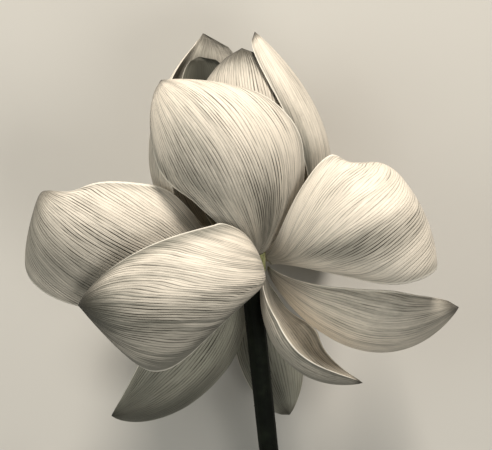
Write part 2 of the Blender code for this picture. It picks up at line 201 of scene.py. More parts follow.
def blade_tree():
    tree = bpy.data.node_groups.new("petal_blade", 'GeometryNodeTree')
    tree_inputs(tree, BLADE_INPUTS)
    d = Desk(tree)
    given = tree.nodes.new('NodeGroupInput').outputs
    grid = d.sheet(1.0, 2.0, given["Rows"], given["Columns"])
    place = d.parts(d.position())
    u = d.sum('ADD', place['X'], 0.5)
    v = place['Y']
    right = d.sum('GREATER_THAN', v, -0.0001)

    def half(name):
        return d.blend(right, given[name + " left"], given[name + " right"])

    # the midrib, and the ways across and inward at each of its points
    midrib = d.node('GeometryNodeCurvePrimitiveBezierSegment', {
        'Resolution': 128, 'Start': given["Foot"], 'Start Handle': given["First handle"],
        'End Handle': given["Second handle"], 'End': given["Tip"]}, mode='POSITION').outputs[0]
    sample = d.node('GeometryNodeSampleCurve', {'Curves': midrib, 'Factor': u}, mode='FACTOR').outputs
    forward = d.way('NORMALIZE', sample['Tangent'])
    chord = d.way('SUBTRACT', given["Tip"], given["Foot"])
    across = d.way('NORMALIZE', d.way('CROSS_PRODUCT', given["Inner way"], chord))
    lean = d.scaled(forward, d.way('DOT_PRODUCT', across, forward))
    flat_side = d.way('NORMALIZE', d.way('SUBTRACT', across, lean))
    flat_inward = d.way('CROSS_PRODUCT', forward, flat_side)
    back = d.sum('SUBTRACT', 1.0, u)
    turn = d.sum('ADD', d.sum('MULTIPLY', given["Twist foot"], d.sum('MULTIPLY', back, back)),
                 d.sum('MULTIPLY', given["Twist tip"], d.sum('MULTIPLY', u, u)))
    sine, cosine = d.sum('SINE', turn), d.sum('COSINE', turn)
    side = d.way('ADD', d.scaled(flat_side, cosine), d.scaled(flat_inward, sine))
    inward = d.way('SUBTRACT', d.scaled(flat_inward, cosine), d.scaled(flat_side, sine))

    # how wide each half is, and how far it curls in
    bounds = []
    for word in (" left", " right"):
        width, widest = given["Width" + word], given["Widest" + word]
        swell = d.sum('SINE', d.sum('MULTIPLY', math.pi / 2, d.clamped(d.sum('DIVIDE', u, widest))))
        growing = d.sum('MULTIPLY_ADD', d.sum('SUBTRACT', width, given["Foot width"]),
                        d.sum('POWER', swell, given["Rise" + word]), given["Foot width"])
        late = d.clamped(d.sum('DIVIDE', d.sum('SUBTRACT', u, widest), d.sum('SUBTRACT', 1.0, widest)))
        left_over = d.sum('SUBTRACT', 1.0, d.sum('POWER', late, given["Full" + word]))
        closing = d.sum('MAXIMUM', given["Tip width"],
                        d.sum('MULTIPLY', width, d.sum('POWER', left_over, given["Point" + word])))
        bounds.append(d.blend(d.sum('LESS_THAN', u, widest), closing, growing))
    reach = d.blend(right, bounds[0], bounds[1])
    opened = d.sum('POWER', d.clamped(d.sum('DIVIDE', u, FLAT_FOOT)), 0.6)
    near_tip = d.clamped(d.sum('MULTIPLY_ADD', u, 2.0, -1.0))
    curl = d.blend(near_tip, d.sum('MULTIPLY', half("Cup"), opened), half("Tip cup"))
    curl = d.sum('MINIMUM', d.sum('MAXIMUM', curl, FLATTEST),
                 d.sum('DIVIDE', reach, given["Tightest curl"]))
    radius = d.sum('DIVIDE', reach, curl)
    out = d.sum('ABSOLUTE', v)
    angle = d.sum('MULTIPLY', curl, out)
    sideways = d.sum('MULTIPLY', d.sum('SIGN', v), d.sum('SINE', angle))
    level = d.sum('COSINE', angle)
    middle = d.way('ADD', sample['Position'], d.way('ADD',
                   d.scaled(side, d.sum('MULTIPLY', radius, sideways)),
                   d.scaled(inward, d.sum('MULTIPLY', radius, d.sum('SUBTRACT', 1.0, level)))))
    face = d.way('SUBTRACT', d.scaled(inward, level), d.scaled(side, sideways))

    # soft waves towards the margin, low pleats along the veins, and the midrib's groove
    spot = d.vector(d.sum('MULTIPLY', u, WAVE_CELLS[0]), d.sum('MULTIPLY', v, WAVE_CELLS[1]),
                    given["Seed"])
    noise = d.noise(spot, 1.0, 1.5)
    loose = d.sum('MULTIPLY', d.sum('POWER', out, 3.0), d.between(u, 0.1, 0.4))
    wave = d.sum('MULTIPLY', d.sum('MULTIPLY', d.sum('SUBTRACT', noise, 0.5), 2.0),
                 d.sum('MULTIPLY', given["Wave"], loose))
    drift = d.vector(d.sum('MULTIPLY', u, SWAY_CELLS[0]), d.sum('MULTIPLY', v, SWAY_CELLS[1]),
                     d.sum('ADD', given["Seed"], SWAY_SEED))
    sway = d.sum('SUBTRACT', d.noise(drift, 1.0, 1.0), 0.5)
    early = d.sum('MULTIPLY', d.sum('MULTIPLY', u, LEAN_PEAK), d.sum('MULTIPLY', back, back))
    course = d.sum('ADD', d.sum('MULTIPLY', v, reach), d.sum('MULTIPLY', early, given["Vein lean"]))
    spread = d.sum('MULTIPLY', d.sum('ADD', bounds[0], bounds[1]), 0.5)
    full_spread = d.sum('MULTIPLY', d.sum('ADD', given["Width left"], given["Width right"]), 0.5)
    count = d.sum('DIVIDE', full_spread, given["Pitch"])
    vein = d.sum('MULTIPLY', count, d.sum('MULTIPLY_ADD', sway, SWAY, d.sum('DIVIDE', course, spread)))
    swing = d.sum('COSINE', d.sum('MULTIPLY', vein, 2 * math.pi))
    on_blade = d.sum('MULTIPLY', d.between(u, 0.03, 0.2),
                     d.clamped(d.sum('DIVIDE', reach, PLEATED_WIDTH)))
    pleat = d.sum('MULTIPLY', d.sum('MULTIPLY', swing, given["Furrow"]),
                  d.sum('MULTIPLY', on_blade, d.between(out, 1.0, 0.93)))
    relief = d.sum('ADD', wave, pleat)

    # the blade's two faces, which meet in a thin margin
    thin = d.sum('SUBTRACT', 1.0, d.sum('POWER', out, MARGIN_TAPER))
    ends = d.sum('MULTIPLY', d.clamped(d.sum('MULTIPLY', u, FOOT_TAPER)),
                 d.sum('SUBTRACT', 1.0, d.sum('POWER', u, TIP_TAPER)))
    depth = d.sum('MULTIPLY', d.sum('MULTIPLY', given["Thickness"], 0.5),
                  d.sum('SQRT', d.clamped(d.sum('MULTIPLY', thin, ends))))
    marked = d.stored(grid, "blade", d.vector(u, v, reach))
    marked = d.stored(marked, "vein", vein, 'FLOAT')
    faces = []
    for way in (1.0, -1.0):
        lift = d.sum('MULTIPLY_ADD', depth, way, relief)
        point = d.way('ADD', d.way('ADD', middle, d.scaled(face, lift)), tuple(HEART))
        laid = d.placed(marked, d.scaled(d.way('MAXIMUM', point, SURFACE), MM))
        laid = d.stored(laid, "inner_face", 0.5 + way / 2, 'FLOAT', 'FACE')
        if way < 0:
            laid = d.node('GeometryNodeFlipFaces', {'Mesh': laid}).outputs[0]
        faces.append(laid)
    closed = d.smooth(d.welded(d.joined(*faces)))
    d.finish(d.realized(closed), given["Skin"])
    return tree


def grow(name, tree, values, start=None):
    """Run a tree on a new object with the given inputs, and keep the result as a plain mesh."""
    thing = bpy.data.objects.new(name, start or bpy.data.meshes.new(name))
    bpy.context.scene.collection.objects.link(thing)
    grower = thing.modifiers.new("grow", 'NODES')
    grower.node_group = tree
    for item in tree.interface.items_tree:
        if item.in_out == 'INPUT' and item.name in values:
            grower[item.identifier] = values[item.name]
    bpy.context.view_layer.update()
    graph = bpy.context.evaluated_depsgraph_get()
    mesh = bpy.data.meshes.new_from_object(thing.evaluated_get(graph))
    mesh.name = name
    thing.modifiers.clear()
    thing.data = mesh
    return thing


def blank_skin(name):
    """A new material, the desk for its tree, and its shader."""
    skin = bpy.data.materials.new(name)
    skin.use_nodes = True
    return skin, Desk(skin.node_tree), skin.node_tree.nodes["Principled BSDF"]


PETAL_CREAM = (0.90, 0.82, 0.70)
SHADED_CREAM = (0.44, 0.43, 0.35)
VEIN_BROWN = (0.05, 0.045, 0.033)
# the grey of greyer skin and of painted shade
SHADE_AND_DULL_GREY = (0.25, 0.24, 0.20)
# green-grey painted shade for petals that hang or stand in the shade of others
PAINTED_SHADE_GREEN = (0.045, 0.045, 0.033)
# the painted highlight where a thin margin catches the light
RIM_HIGHLIGHT = (1.0, 0.95, 0.84)
TIP_BROWN = (0.045, 0.04, 0.027)
FOOT_SHADE = 0.55
RIM_HIGHLIGHT_BAND = (0.96, 0.98)                           # where across a half the painted highlight along the margin sets in, and is full
RIM_SHADOW_END = 0.95
VEIN_NOISE = 31.0                            # sets the strengths of the finer veins apart
LIGHT_THROUGH = 0.12
SKIN_RELIEF = 0.0003                         # in metres, how deep the veins and fibres are bumped


def petal_skin(name, colour=PETAL_CREAM, veins=0.7, greys=(), darks=(), dusks=(), streaks=0.25,
               outside=0.0, rim=0.7, rim_shadow=0.35, rim_inner=0.84, tip=0.6, tip_start=0.93, seed=0.0):
    """veins is how dark the veins are. Each stretch of greys (greyer skin and painted shade), darks
    (darker veins, with painted shade over the same stretch) and dusks (green-grey painted shade) is
    (u, v, half length, half width, strength). streaks greys the skin in long lines, and outside
    paints shade on the outer face. rim paints a highlight along the margin, rim_shadow paints shade on the
    skin inside it from rim_inner out, and tip browns the end from tip_start on."""
    skin, d, shader = blank_skin(name)
    blade = d.parts(d.attribute("blade", 'Vector'))
    u, v = blade['X'], blade['Y']
    vein = d.attribute("vein")
    out = d.sum('ABSOLUTE', v)

    def cloud(along, across, detail, offset):
        spot = d.vector(d.sum('MULTIPLY', u, along), d.sum('MULTIPLY', vein, across), seed + offset)
        return d.noise(spot, 1.0, detail, Roughness=0.55)

    def total(stretches, start):
        for middle_u, middle_v, long, wide, strength in stretches:
            along = d.sum('DIVIDE', d.sum('SUBTRACT', u, middle_u), long)
            across = d.sum('DIVIDE', d.sum('SUBTRACT', v, middle_v), wide)
            squares = d.sum('ADD', d.sum('MULTIPLY', along, along), d.sum('MULTIPLY', across, across))
            share = d.sum('MULTIPLY', d.between(d.sum('SQRT', squares), 1.0, 0.0), strength)
            start = d.sum('ADD', share, start)
        return start

    # each vein is a thin line with a strength of its own, and finer ones lie between
    def lines(count, thin, offset):
        place = d.sum('MULTIPLY', vein, count)
        number = d.sum('FLOOR', d.sum('ADD', place, 0.5))
        away = d.sum('ABSOLUTE', d.sum('SUBTRACT', place, number))
        own = d.node('ShaderNodeTexWhiteNoise', {'W': d.sum('ADD', number, offset + 0.5)},
                     noise_dimensions='1D').outputs['Value']
        return d.sum('MULTIPLY', d.between(away, thin, thin * 0.25), d.sum('MULTIPLY_ADD', own, 0.6, 0.45))

    # where veins fade in and out, the fine fibre, broad tones, and long greyer streaks
    broken = d.between(cloud(9.0, 1.1, 2.0, 5.0), 0.32, 0.62)
    grain = cloud(26.0, 1.7, 2.0, 17.0)
    patches = d.between(cloud(3.2, 0.14, 2.0, 23.0), 0.35, 0.7)
    streak = d.between(cloud(2.4, 0.6, 3.0, 41.0), 0.42, 0.68)
    drawn = d.sum('ADD', d.sum('MULTIPLY', lines(1.0, 0.30, seed), d.sum('MULTIPLY_ADD', broken, 0.6, 0.4)),
                  d.sum('MULTIPLY', d.sum('MULTIPLY', lines(2.0, 0.36, seed + VEIN_NOISE), 0.4), broken))
    strength = total(darks, d.sum('MULTIPLY', veins, d.sum('MULTIPLY_ADD', patches, 0.55, 0.45)))
    ink = d.clamped(d.sum('MULTIPLY', drawn, strength))
    # The greyer share below mixes the skin's own random tones, streaks and grain with painted shade: the
    # outer face, the foot towards the heart and a band inside the margin, and in part each petal's grey and
    # dark stretches.
    dull_and_shade = total(greys, d.sum('MULTIPLY', d.sum('SUBTRACT', patches, 0.35), 0.10))
    dull_and_shade = d.sum('MULTIPLY_ADD', total(darks, 0.0), 0.35, dull_and_shade)
    dull_and_shade = d.sum('MULTIPLY_ADD', streak, streaks, dull_and_shade)
    dull_and_shade = d.sum('MULTIPLY_ADD', d.sum('SUBTRACT', 1.0, d.attribute("inner_face")), outside, dull_and_shade)
    dull_and_shade = d.sum('MULTIPLY_ADD', d.sum('SUBTRACT', grain, 0.5), 0.45, dull_and_shade)
    dull_and_shade = d.sum('MULTIPLY_ADD', d.between(u, 0.3, 0.02), FOOT_SHADE, dull_and_shade)
    inside_rim = d.sum('MULTIPLY', d.between(out, rim_inner, RIM_SHADOW_END), d.between(u, 0.15, 0.35))
    dull_and_shade = d.clamped(d.sum('MULTIPLY_ADD', inside_rim, rim_shadow, dull_and_shade))

    def coat(share, under, over):
        under, over = (tint if hasattr(tint, 'is_output') else (*tint, 1.0) for tint in (under, over))
        return d.node('ShaderNodeMix', {0: share, 6: under, 7: over}, data_type='RGBA').outputs[2]

    # grey by that share: greyer skin, and painted shade where the share holds it
    tint = coat(dull_and_shade, colour, SHADE_AND_DULL_GREY)
    # green-grey painted shade over each petal's listed stretches
    if dusks:
        tint = coat(d.clamped(total(dusks, 0.0)), tint, PAINTED_SHADE_GREEN)
    tint = coat(ink, tint, VEIN_BROWN)
    # a painted highlight along the margin, where its thin edge catches the light
    tint = coat(d.sum('MULTIPLY', d.between(out, *RIM_HIGHLIGHT_BAND), rim), tint, RIM_HIGHLIGHT)
    near_tip = d.sum('MULTIPLY_ADD', d.sum('SUBTRACT', grain, 0.5), 0.06, u)
    tint = coat(d.sum('MULTIPLY', d.between(near_tip, tip_start, 0.995), tip), tint, TIP_BROWN)
    d.plug(shader.inputs["Base Color"], tint)
    d.plug(shader.inputs["Roughness"], d.sum('MULTIPLY_ADD', drawn, 0.15, 0.5))
    shader.inputs["Specular IOR Level"].default_value = 0.3
    shader.inputs["Sheen Weight"].default_value = 0.1
    height = d.sum('MULTIPLY_ADD', drawn, -1.0, d.sum('MULTIPLY', grain, 0.6))
    d.bump(shader, height, 0.5, SKIN_RELIEF)
    glow = d.node('ShaderNodeBsdfTranslucent', {'Color': tint})
    mixed = d.node('ShaderNodeMixShader', {0: LIGHT_THROUGH, 1: shader.outputs[0], 2: glow.outputs[0]})
    d.plug(d.tree.nodes["Material Output"].inputs["Surface"], mixed.outputs[0])
    return skin


SEAT_RADIUS = 7.0
FOOT_WIDTH = 2.5                             # half the width of a petal's foot, unless its form gives it
FULL = (2.2, 2.2)


def seat_point(degrees, height, out=0):
    turn = math.radians(degrees)
    radius = SEAT_RADIUS + out
    return (radius * math.sin(turn), float(height), radius * math.cos(turn))


petal_blade = blade_tree()
petals_laid = []


def lay_petal(name, forms, blade=None, slot="petal", **look):
    """Grow one petal from its form, give it its skin, and put it in the place of its solid."""
    form = forms[name]
    order = len(petals_laid)
    first, second, tip = [tuple(map(float, point)) for point in form["midrib"]]
    twist = form.get("twist", (0, 0))
    values = {"Foot": seat_point(*form["seat"]), "First handle": first, "Second handle": second, "Tip": tip,
              "Inner way": tuple(map(float, form["inner"])), "Seed": 10.0 * order,
              "Twist foot": math.radians(twist[0]), "Twist tip": math.radians(twist[1]),
              "Foot width": form.get("foot", FOOT_WIDTH),
              "Skin": petal_skin(name + "_skin", seed=3.0 * order, **look)}
    for side, word in enumerate((" left", " right")):
        values["Width" + word] = float(form["width"][side])
        values["Cup" + word] = math.radians(form["cup"][side])
        values["Tip cup" + word] = math.radians(form.get("tip_cup", form["cup"])[side])
        values["Widest" + word] = form["widest"][side]
        values["Rise" + word] = float(form["rise"][side])
        values["Point" + word] = float(form["point"][side])
        values["Full" + word] = float(form.get("full", FULL)[side])
    values.update(blade or {})
    petal = grow(name + "_blade", petal_blade, values)
    petals_laid.append(petal)
    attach(petal, "root")
    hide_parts(name)


# Each form gives the seat (degrees round the axis, height), the midrib's two handles and tip, the way
# the hollow side faces, and for the left and right half: width, cup, where it is widest, how slowly it
# widens (rise), and how sharply and how late it closes (point, full).
CUP = {
    "petal_front_cup": dict(
        seat=(22, 5), midrib=((12, 30, 44), (-15, 79, 57), (-40.5, 83, 15)), inner=(-0.10, -0.15, -1),
        width=(38, 32), cup=(56, 40), tip_cup=(60, 60), widest=(0.58, 0.44), rise=(1.2, 0.95),
        point=(0.55, 1.0), full=(2.2, 1.8)),
    "petal_front_inner": dict(
        seat=(17, 9), midrib=((6, 34, 33), (0, 75, 25), (-4.5, 98.3, 2)), inner=(0, 0, -1),
        width=(33, 25), cup=(60, 70), widest=(0.6, 0.6), rise=(1.3, 1.3), point=(0.45, 0.45)),
    "petal_right_cup": dict(
        seat=(98, 6), midrib=((48, 24, 2), (43, 68, 2), (1.3, 106, -2)), inner=(-1, 0, -0.1),
        width=(24, 32), cup=(68, 60), widest=(0.6, 0.45), rise=(2.0, 1.3), point=(0.5, 0.7)),
    "petal_left_cup": dict(
        seat=(-98, 6), midrib=((-62, 30, -4), (-31, 84, -6), (-22, 106, -10)), inner=(0.5, 0, 0.8),
        width=(38, 27), cup=(40, 130), tip_cup=(40, 95), widest=(0.65, 0.42), rise=(1.3, 1.3),
        point=(0.47, 1.35), full=(2.2, 1.8), twist=(0, -35)),
    "petal_left_inner": dict(
        seat=(-70, 9.2), midrib=((-31, 24, 6), (-22, 68, -6), (-24, 95, -5)), inner=(0.1, -0.2, 1),
        width=(18, 12), cup=(50, 50), widest=(0.72, 0.6), rise=(1.6, 1.3), point=(0.4, 0.4), twist=(80, 0),
        foot=1.5),
}
lay_petal("petal_front_cup", CUP, veins=0.9, tip=0.7,
          darks=((0.26, 0.1, 0.28, 0.4, 0.9),),
          greys=((0.55, -0.55, 0.6, 0.7, 0.5), (0.2, 0.1, 0.25, 0.6, 0.35)))
lay_petal("petal_front_inner", CUP, veins=0.75, tip=0.9, tip_start=0.86,
          greys=((0.6, 0.8, 0.7, 0.5, 0.7), (0.95, 0.0, 0.2, 1.0, 0.5), (0.7, 0.0, 0.6, 2.0, 0.15)))
lay_petal("petal_right_cup", CUP, veins=0.45, tip=0.9, tip_start=0.96,
          greys=((0.6, 0.2, 0.9, 1.6, 0.3), (0.45, -1.0, 0.45, 0.6, 0.8)))
lay_petal("petal_left_cup", CUP, veins=0.5, tip=0.8, rim_shadow=0.1,
          greys=((0.85, -0.1, 0.35, 0.9, 0.75), (0.5, 0.0, 0.6, 1.5, 0.3)))
# This small inner petal deep in the cup gets a darker shaded cream and green-grey painted shade, standing
# for the shadow inside the cup.
lay_petal("petal_left_inner", CUP, slot="petal_shaded", colour=SHADED_CREAM, veins=0.5,
          rim=0.45, dusks=((0.8, 0.0, 1.0, 2.2, 1.0),))


# ---- The spread petals ----------------------------------------------------------------------------
# Three of the widest petals lie open to the left, the front and the right. They are of the same soft
# blade and grow from the same ring, but are bent back and fuller, so that their veins swing out of line
# with the midrib.
SPREAD = {
    "petal_left_spread": dict(
        seat=(-72, 3), midrib=((-44, -4, 34), (-105.6, 14, 48), (-93, 33, 18)), inner=(0, 0.25, -1),
        width=(31.8, 34.5), cup=(35, 46), widest=(0.6, 0.4), rise=(1.3, 1.6), point=(0.85, 0.85),
        full=(3.0, 2.4)),
    "petal_front_spread": dict(
        seat=(-17, 0), midrib=((30, -5, 56), (-50, -14, 68), (-75.6, -15.8, 34)), inner=(-0.2, 0, -1),
        width=(38, 31), cup=(50, 50), widest=(0.74, 0.35), rise=(4.0, 1.15), point=(1.0, 0.75)),
    "petal_right_spread": dict(
        seat=(66, 3, 0.8), midrib=((24, 18, 56), (87, 38, 52), (60, 42, -6)), inner=(0.15, -0.2, -1),
        width=(32, 40.5), cup=(30, 45), tip_cup=(40, 50), widest=(0.5, 0.64), rise=(2.2, 1.5),
        point=(1.1, 0.5), full=(1.4, 2.6)),
}
FINE = {"Rows": 97, "Furrow": 0.02}
lay_petal("petal_left_spread", SPREAD, dict(FINE, **{"Vein lean": 16.0}), veins=0.9,
          tip=0.95, tip_start=0.83, darks=((0.55, 0.0, 0.35, 0.5, 0.5),),
          greys=((0.75, -0.45, 0.5, 0.8, 0.5), (0.95, 0.0, 0.25, 1.0, 0.5)))
lay_petal("petal_front_spread", SPREAD, dict(FINE, **{"Vein lean": 10.0}), veins=0.85,
          tip=0.95, tip_start=0.8, rim_shadow=0.8, rim_inner=0.66, streaks=0.55,
          darks=((0.6, -0.2, 0.5, 0.35, 0.95),),
          greys=((0.6, -0.6, 0.6, 0.6, 0.45), (0.95, 0.0, 0.3, 1.0, 0.9)))
lay_petal("petal_right_spread", SPREAD, dict(FINE, **{"Vein lean": -12.0}), veins=0.6,
          tip=0.7, darks=((0.45, 0.4, 0.35, 0.3, 0.9),), greys=((0.45, 0.4, 0.45, 0.4, 0.4),))


# ---- The low petals -------------------------------------------------------------------------------
# The four outermost petals are the oldest and have the lowest seats on the ring. One reaches out to the
# right and three hang beside the stem, narrower and thinner-skinned. Their shade is painted on: the back
# and left ones have a darker shaded cream and green-grey painted shade towards their ends, and the
# hanging right one painted shade on its outer face.
LOW = {
    "petal_right_low": dict(
        seat=(99, -0.5), midrib=((24, -32, 12), (66, -52, 14), (92.7, -18, 4)), inner=(0, 1, -0.5),
        width=(31.5, 29), cup=(70, 70), widest=(0.6, 0.5), rise=(1.0, 0.8), point=(0.6, 0.85)),
    "petal_right_hanging": dict(
        seat=(45, -1, 0.5), midrib=((0, -28, 18), (16, -56, 18), (49, -51, 16)), inner=(0.7, 0.6, 0.16),
        width=(18, 30), cup=(65, 60), widest=(0.5, 0.5), rise=(1.1, 0.7), point=(0.85, 0.85)),
    "petal_back_hanging": dict(
        seat=(171, 0), midrib=((2, -22, -28), (10, -50, -34), (17.5, -69, -30)), inner=(0.2, 0, -1),
        width=(16, 18), cup=(40, 40), widest=(0.6, 0.6), rise=(1.3, 1.3), point=(0.85, 0.65)),
    "petal_left_hanging": dict(
        seat=(-114, -0.6, 0.95), midrib=((-8, -30, -14), (-34, -66, -20), (-64, -68, -14)),
        inner=(-0.1, 0.6, -1), width=(22, 24), cup=(60, 60), widest=(0.5, 0.5), rise=(1.3, 1.3),
        point=(0.85, 0.85), foot=2.0),
}
lay_petal("petal_right_low", LOW, veins=0.6, tip=0.85, tip_start=0.9, streaks=0.35,
          greys=((0.85, 0.0, 0.45, 1.6, 0.5), (0.5, -0.8, 0.5, 0.4, 0.25)))
lay_petal("petal_right_hanging", LOW, veins=0.6, tip=0.95, tip_start=0.93, outside=0.45,
          rim=0.9, rim_shadow=0.5, greys=((0.8, 0.0, 0.5, 1.5, 0.5), (0.4, 0.8, 0.7, 0.6, 0.3)))
lay_petal("petal_back_hanging", LOW, slot="petal_shaded", colour=SHADED_CREAM, veins=0.8,
          rim=0.6, dusks=((0.75, 0.3, 0.6, 1.0, 0.85),))
lay_petal("petal_left_hanging", LOW, slot="petal_shaded", colour=SHADED_CREAM, veins=0.9,
          rim=0.9, streaks=0.4, dusks=((1.0, 0.0, 0.6, 1.5, 0.8), (0.65, -0.6, 0.5, 0.6, 0.45)))


# ---- The rear petals ------------------------------------------------------------------------------
# Four petals of the same ring close the far side of the bloom. Two of them lie on the surface and carry
# it, so their margins keep level, and all have fewer waves and plainer skin than those in the light.
REAR = {
    "petal_rest_left": dict(
        seat=(-145, 3), midrib=((-16, 12, -46), (-29, 50, -84), (-31, 60, -38)), inner=(0.3, -0.1, 1),
        width=(24, 17), cup=(45, 45), widest=(0.55, 0.55), rise=(1.3, 1.3), point=(0.85, 0.85)),
    "petal_rest_right": dict(
        seat=(140, 3), midrib=((20, 12, -46), (34, 42, -85.2), (35, 48, -38)), inner=(-0.3, -0.1, 1),
        width=(16, 24), cup=(45, 45), widest=(0.55, 0.55), rise=(1.3, 1.3), point=(0.85, 0.85)),
    "petal_back_cup": dict(
        seat=(180, 7), midrib=((-2, 36, -58), (-4, 76, -50), (-4, 92, -14)), inner=(0, 0, 1),
        width=(24, 24), cup=(45, 45), widest=(0.55, 0.55), rise=(1.3, 1.3), point=(0.85, 0.85)),
    "petal_back_inner": dict(
        seat=(140, 9), midrib=((18, 38, -32), (17, 72, -26), (4, 90, -12)), inner=(-0.5, 0, 0.8),
        width=(17, 17), cup=(45, 45), widest=(0.55, 0.55), rise=(1.3, 1.3), point=(0.85, 0.85)),
}
CALM = {"Columns": 129, "Furrow": 0.03}
for resting in ("petal_rest_left", "petal_rest_right"):
    lay_petal(resting, REAR, dict(CALM, Wave=0.0, Thickness=0.9), veins=0.7,
              greys=((0.8, 0.0, 0.6, 1.2, 0.4),))
lay_petal("petal_back_cup", REAR, CALM, veins=0.8, darks=((0.3, 0.0, 0.3, 0.5, 0.6),))
lay_petal("petal_back_inner", REAR, CALM, veins=0.7, greys=((0.9, 0.0, 0.3, 1.0, 0.4),))


# ---- The stem -------------------------------------------------------------------------------------
# A round, firm green stalk about 9 mm thick, cut off 200 mm below the bloom. It comes down in one bend
# and lies on the surface at its cut end. Fine ribs run along it, and short blunt prickles stand on it.
STEM_INPUTS = {
    "Start": (-0.8, -2.8, 0.0), "Length": 198.0, "Sideways": 0.105, "Drop": 55.65, "Radius": 4.55,
    "Ribs": 15.0, "Rib depth": 0.045, "Prickle height": 0.5, "Prickle radius": 0.36,
    "Prickles": 0.05, "Seed": 4, "Rows": 181, "Columns": 91, "Skin": None,
}
SWELLING = 0.16                              # how far the stalk's thickness wanders,
SWELLING_CELLS = 9.0                         # and how often along its length
INSET = 0.1                                  # keeps ribs and swellings within the real thickness
PRICKLE_SIDES = 5
PRICKLE_LEAST = 0.35                         # the smallest prickle's share of the full size
PRICKLE_END = 0.00002                        # in metres, the radius of a prickle's blunt end
PRICKLE_SUNK = 0.00012                       # in metres, how deep it is rooted
PER_SQUARE_METRE = 1000000.0                 # turns a number in each mm2 into one in each m2


def stem_tree():
    tree = bpy.data.node_groups.new("stem_stalk", 'GeometryNodeTree')
    tree_inputs(tree, STEM_INPUTS)
    d = Desk(tree)
    given = tree.nodes.new('NodeGroupInput').outputs
    grid = d.sheet(1.0, 1.0, given["Rows"], given["Columns"])
    place = d.parts(d.position())
    row = d.sum('ADD', place['X'], 0.5)
    last = d.sum('SUBTRACT', given["Rows"], 1.0)
    step = d.sum('DIVIDE', 1.0, last)
    # the first and last rows close the ends, so t runs from the second to the last but one
    whole = d.sum('SUBTRACT', 1.0, d.sum('MULTIPLY', step, 2.0))
    t = d.clamped(d.sum('DIVIDE', d.sum('SUBTRACT', row, step), whole))
    open_row = d.sum('MULTIPLY', d.sum('GREATER_THAN', row, d.sum('MULTIPLY', step, 0.5)),
                     d.sum('LESS_THAN', row, d.sum('SUBTRACT', 1.0, d.sum('MULTIPLY', step, 0.5))))
    turn = d.sum('MULTIPLY', place['Y'], 2 * math.pi)

    # it leaves the bloom level, falls in one bend and ends level; steep is the slope of that fall
    along = d.sum('MULTIPLY', given["Length"], t)
    fall = d.sum('MULTIPLY', d.sum('MULTIPLY', t, t), d.sum('MULTIPLY_ADD', t, -2.0, 3.0))
    centre = d.way('ADD', given["Start"], d.vector(
        d.sum('MULTIPLY', given["Sideways"], along), d.sum('MULTIPLY', along, -1.0),
        d.sum('MULTIPLY', given["Drop"], d.sum('MULTIPLY', fall, -1.0))))
    steep = d.sum('MULTIPLY', d.sum('MULTIPLY', given["Drop"], -6.0),
                  d.sum('MULTIPLY', t, d.sum('SUBTRACT', 1.0, t)))
    forward = d.way('NORMALIZE', d.vector(
        d.sum('MULTIPLY', given["Sideways"], given["Length"]),
        d.sum('MULTIPLY', given["Length"], -1.0), steep))
    side = d.way('NORMALIZE', d.way('CROSS_PRODUCT', forward, (0.0, 0.0, 1.0)))
    up = d.way('CROSS_PRODUCT', side, forward)
    outward = d.way('ADD', d.scaled(side, d.sum('COSINE', turn)), d.scaled(up, d.sum('SINE', turn)))
    rib = d.sum('MULTIPLY', given["Rib depth"], d.sum('COSINE', d.sum('MULTIPLY', turn, given["Ribs"])))
    swell = d.node('ShaderNodeTexNoise', {'W': d.sum('MULTIPLY', t, SWELLING_CELLS), 'Scale': 1.0},
                   noise_dimensions='1D').outputs[0]
    uneven = d.sum('MULTIPLY_ADD', d.sum('SUBTRACT', swell, 0.5), SWELLING, rib)
    radius = d.sum('SUBTRACT', d.sum('ADD', given["Radius"], uneven), INSET)
    rim = d.way('ADD', centre, d.scaled(outward, d.sum('MULTIPLY', radius, open_row)))
    laid = d.way('MAXIMUM', d.way('ADD', rim, tuple(HEART)), SURFACE)
    stalk = d.placed(grid, d.scaled(laid, MM))
    stalk = d.stored(stalk, "along", t, 'FLOAT')
    stalk = d.welded(d.stored(stalk, "round", d.sum('DIVIDE', turn, 2 * math.pi), 'FLOAT'))

    # short prickles, each of its own size, square to the skin
    spots = d.node('GeometryNodeDistributePointsOnFaces', {
        'Mesh': stalk, 'Density': d.sum('MULTIPLY', given["Prickles"], PER_SQUARE_METRE),
        'Seed': given["Seed"]}, distribute_method='RANDOM').outputs
    upright = d.node('FunctionNodeAlignRotationToVector', {'Vector': spots['Normal']}, axis='Z').outputs[0]
    cone = d.node('GeometryNodeMeshCone', {
        'Vertices': PRICKLE_SIDES, 'Side Segments': 1, 'Radius Top': PRICKLE_END,
        'Radius Bottom': d.sum('MULTIPLY', given["Prickle radius"], MM),
        'Depth': d.sum('MULTIPLY', given["Prickle height"], MM)}).outputs['Mesh']
    sunk = d.node('GeometryNodeTransform', {'Geometry': cone,
                                            'Translation': (0.0, 0.0, -PRICKLE_SUNK)}).outputs[0]
    own = d.node('FunctionNodeRandomValue', {2: PRICKLE_LEAST, 3: 1.0, 'Seed': given["Seed"]},
                 data_type='FLOAT').outputs[1]
    prickles = d.node('GeometryNodeInstanceOnPoints', {
        'Points': spots['Points'], 'Instance': sunk, 'Rotation': upright,
        'Scale': d.vector(own, own, own)}).outputs[0]
    real = d.realized(d.smooth(d.joined(prickles, stalk)))
    above = d.placed(real, d.way('MAXIMUM', d.position(), SURFACE))
    d.finish(above, given["Skin"])
    return tree


def object_place(d):
    return d.node('ShaderNodeTexCoord', {}).outputs['Object']


def ramp_tint(d, share, colours):
    """A colour ramp through evenly spaced colours."""
    ramp = d.node('ShaderNodeValToRGB', {0: share})
    ends = ramp.color_ramp.elements
    while len(ends) < len(colours):
        ends.new(0.5)
    for i, colour in enumerate(colours):
        ends[i].position = i / (len(colours) - 1)
        ends[i].color = (*colour, 1.0)
    return ramp.outputs[0]


